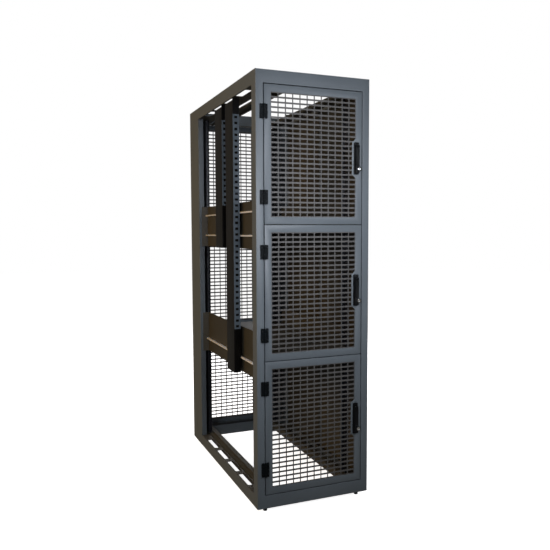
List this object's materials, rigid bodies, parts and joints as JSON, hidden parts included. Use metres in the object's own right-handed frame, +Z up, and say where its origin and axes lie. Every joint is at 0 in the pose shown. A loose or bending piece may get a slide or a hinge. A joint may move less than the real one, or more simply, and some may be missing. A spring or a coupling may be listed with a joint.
{
  "type": "server rack cabinet",
  "caption": "Tall steel server rack cabinet with three locking mesh doors front and rear, separate compartments, side cable ducts and an open left side.",
  "frame": {"origin": "on the floor under the middle of the cabinet", "axes": "+Z up, -Y towards the front doors, +X to the right as seen from the front"},
  "size_m": [0.6, 1.248, 2.1],
  "materials": {
    "frame_paint": "fine textured powder coat, satin",
    "inner_paint": "fine textured powder coat, satin",
    "mesh_paint": "satin powder coat",
    "rail_paint": "satin black",
    "duct_paint": "satin black",
    "hinge_black": "semi-matt black",
    "handle_black": "moulded, fine grain",
    "bar_zinc": "galvanised",
    "steel_pin": "turned",
    "zinc_cam": "zinc plated",
    "lock_chrome": "bright plated",
    "foot_zinc": "blackened zinc"
  },
  "bodies": {
    "root": {"front_frame": "frame_paint", "rear_frame": "frame_paint", "bottom_side_rails": "inner_paint", "top_side_rails": "inner_paint", "depth_channels": "inner_paint", "compartment_dividers": "inner_paint", "divider_side_plates": "inner_paint", "mounting_rails": "rail_paint", "cable_tie_bars": "bar_zinc", "middle_cable_duct": "duct_paint", "bottom_cable_duct": "duct_paint", "right_side_panels": "inner_paint", "frame_hinge_halves": "hinge_black", "hinge_pins": "steel_pin"},
    "front_bottom_door": {"front_bottom_door_frame": "frame_paint", "front_bottom_grille": "mesh_paint", "front_bottom_hinge_halves": "hinge_black", "front_bottom_handle_base": "handle_black"},
    "front_bottom_cam": {"front_bottom_cam_spindle": "zinc_cam"},
    "front_bottom_lever": {"front_bottom_handle_lever": "handle_black"},
    "front_bottom_lock": {"front_bottom_lock_barrel": "lock_chrome"},
    "front_middle_door": {"front_middle_door_frame": "frame_paint", "front_middle_grille": "mesh_paint", "front_middle_hinge_halves": "hinge_black", "front_middle_handle_base": "handle_black"},
    "front_middle_cam": {"front_middle_cam_spindle": "zinc_cam"},
    "front_middle_lever": {"front_middle_handle_lever": "handle_black"},
    "front_middle_lock": {"front_middle_lock_barrel": "lock_chrome"},
    "front_top_door": {"front_top_door_frame": "frame_paint", "front_top_grille": "mesh_paint", "front_top_hinge_halves": "hinge_black", "front_top_handle_base": "handle_black"},
    "front_top_cam": {"front_top_cam_spindle": "zinc_cam"},
    "front_top_lever": {"front_top_handle_lever": "handle_black"},
    "front_top_lock": {"front_top_lock_barrel": "lock_chrome"},
    "rear_bottom_door": {"rear_bottom_door_frame": "frame_paint", "rear_bottom_grille": "mesh_paint", "rear_bottom_hinge_halves": "hinge_black", "rear_bottom_handle_base": "handle_black"},
    "rear_bottom_cam": {"rear_bottom_cam_spindle": "zinc_cam"},
    "rear_bottom_lever": {"rear_bottom_handle_lever": "handle_black"},
    "rear_bottom_lock": {"rear_bottom_lock_barrel": "lock_chrome"},
    "rear_middle_door": {"rear_middle_door_frame": "frame_paint", "rear_middle_grille": "mesh_paint", "rear_middle_hinge_halves": "hinge_black", "rear_middle_handle_base": "handle_black"},
    "rear_middle_cam": {"rear_middle_cam_spindle": "zinc_cam"},
    "rear_middle_lever": {"rear_middle_handle_lever": "handle_black"},
    "rear_middle_lock": {"rear_middle_lock_barrel": "lock_chrome"},
    "rear_top_door": {"rear_top_door_frame": "frame_paint", "rear_top_grille": "mesh_paint", "rear_top_hinge_halves": "hinge_black", "rear_top_handle_base": "handle_black"},
    "rear_top_cam": {"rear_top_cam_spindle": "zinc_cam"},
    "rear_top_lever": {"rear_top_handle_lever": "handle_black"},
    "rear_top_lock": {"rear_top_lock_barrel": "lock_chrome"},
    "front_left_foot": {"front_left_foot": "foot_zinc"},
    "front_right_foot": {"front_right_foot": "foot_zinc"},
    "rear_left_foot": {"rear_left_foot": "foot_zinc"},
    "rear_right_foot": {"rear_right_foot": "foot_zinc"}
  },
  "joints": [
    {"name": "front_bottom_door_hinge", "type": "hinge", "parent": "root", "child": "front_bottom_door", "pos_m": [-0.26, -0.607, 0.411], "axis": [0, 0, -1], "range_deg": [0, 120]},
    {"name": "front_bottom_cam_turn", "type": "hinge", "parent": "front_bottom_door", "child": "front_bottom_cam", "pos_m": [0.226, -0.6, 0.469], "axis": [0, 1, 0], "range_deg": [0, 90]},
    {"name": "front_bottom_lever_tilt", "type": "hinge", "parent": "front_bottom_cam", "child": "front_bottom_lever", "pos_m": [0.226, -0.6145, 0.469], "axis": [-1, 0, 0], "range_deg": [0, 30]},
    {"name": "front_bottom_key_turn", "type": "hinge", "parent": "front_bottom_door", "child": "front_bottom_lock", "pos_m": [0.235, -0.6, 0.359], "axis": [0, 1, 0], "range_deg": [0, 90]},
    {"name": "front_middle_door_hinge", "type": "hinge", "parent": "root", "child": "front_middle_door", "pos_m": [-0.26, -0.607, 1.061], "axis": [0, 0, -1], "range_deg": [0, 120]},
    {"name": "front_middle_cam_turn", "type": "hinge", "parent": "front_middle_door", "child": "front_middle_cam", "pos_m": [0.226, -0.6, 1.119], "axis": [0, 1, 0], "range_deg": [0, 90]},
    {"name": "front_middle_lever_tilt", "type": "hinge", "parent": "front_middle_cam", "child": "front_middle_lever", "pos_m": [0.226, -0.6145, 1.119], "axis": [-1, 0, 0], "range_deg": [0, 30]},
    {"name": "front_middle_key_turn", "type": "hinge", "parent": "front_middle_door", "child": "front_middle_lock", "pos_m": [0.235, -0.6, 1.009], "axis": [0, 1, 0], "range_deg": [0, 90]},
    {"name": "front_top_door_hinge", "type": "hinge", "parent": "root", "child": "front_top_door", "pos_m": [-0.26, -0.607, 1.711], "axis": [0, 0, -1], "range_deg": [0, 120]},
    {"name": "front_top_cam_turn", "type": "hinge", "parent": "front_top_door", "child": "front_top_cam", "pos_m": [0.226, -0.6, 1.769], "axis": [0, 1, 0], "range_deg": [0, 90]},
    {"name": "front_top_lever_tilt", "type": "hinge", "parent": "front_top_cam", "child": "front_top_lever", "pos_m": [0.226, -0.6145, 1.769], "axis": [-1, 0, 0], "range_deg": [0, 30]},
    {"name": "front_top_key_turn", "type": "hinge", "parent": "front_top_door", "child": "front_top_lock", "pos_m": [0.235, -0.6, 1.659], "axis": [0, 1, 0], "range_deg": [0, 90]},
    {"name": "rear_bottom_door_hinge", "type": "hinge", "parent": "root", "child": "rear_bottom_door", "pos_m": [0.26, 0.607, 0.411], "axis": [0, 0, -1], "range_deg": [0, 120]},
    {"name": "rear_bottom_cam_turn", "type": "hinge", "parent": "rear_bottom_door", "child": "rear_bottom_cam", "pos_m": [-0.226, 0.6, 0.469], "axis": [0, -1, 0], "range_deg": [0, 90]},
    {"name": "rear_bottom_lever_tilt", "type": "hinge", "parent": "rear_bottom_cam", "child": "rear_bottom_lever", "pos_m": [-0.226, 0.6145, 0.469], "axis": [1, 0, 0], "range_deg": [0, 30]},
    {"name": "rear_bottom_key_turn", "type": "hinge", "parent": "rear_bottom_door", "child": "rear_bottom_lock", "pos_m": [-0.235, 0.6, 0.359], "axis": [0, -1, 0], "range_deg": [0, 90]},
    {"name": "rear_middle_door_hinge", "type": "hinge", "parent": "root", "child": "rear_middle_door", "pos_m": [0.26, 0.607, 1.061], "axis": [0, 0, -1], "range_deg": [0, 120]},
    {"name": "rear_middle_cam_turn", "type": "hinge", "parent": "rear_middle_door", "child": "rear_middle_cam", "pos_m": [-0.226, 0.6, 1.119], "axis": [0, -1, 0], "range_deg": [0, 90]},
    {"name": "rear_middle_lever_tilt", "type": "hinge", "parent": "rear_middle_cam", "child": "rear_middle_lever", "pos_m": [-0.226, 0.6145, 1.119], "axis": [1, 0, 0], "range_deg": [0, 30]},
    {"name": "rear_middle_key_turn", "type": "hinge", "parent": "rear_middle_door", "child": "rear_middle_lock", "pos_m": [-0.235, 0.6, 1.009], "axis": [0, -1, 0], "range_deg": [0, 90]},
    {"name": "rear_top_door_hinge", "type": "hinge", "parent": "root", "child": "rear_top_door", "pos_m": [0.26, 0.607, 1.711], "axis": [0, 0, -1], "range_deg": [0, 120]},
    {"name": "rear_top_cam_turn", "type": "hinge", "parent": "rear_top_door", "child": "rear_top_cam", "pos_m": [-0.226, 0.6, 1.769], "axis": [0, -1, 0], "range_deg": [0, 90]},
    {"name": "rear_top_lever_tilt", "type": "hinge", "parent": "rear_top_cam", "child": "rear_top_lever", "pos_m": [-0.226, 0.6145, 1.769], "axis": [1, 0, 0], "range_deg": [0, 30]},
    {"name": "rear_top_key_turn", "type": "hinge", "parent": "rear_top_door", "child": "rear_top_lock", "pos_m": [-0.235, 0.6, 1.659], "axis": [0, -1, 0], "range_deg": [0, 90]},
    {"name": "front_left_foot_screw", "type": "slide", "parent": "root", "child": "front_left_foot", "axis": [0, 0, -1], "range_m": [0, 0.02]},
    {"name": "front_right_foot_screw", "type": "slide", "parent": "root", "child": "front_right_foot", "axis": [0, 0, -1], "range_m": [0, 0.02]},
    {"name": "rear_left_foot_screw", "type": "slide", "parent": "root", "child": "rear_left_foot", "axis": [0, 0, -1], "range_m": [0, 0.02]},
    {"name": "rear_right_foot_screw", "type": "slide", "parent": "root", "child": "rear_right_foot", "axis": [0, 0, -1], "range_m": [0, 0.02]}
  ]
}
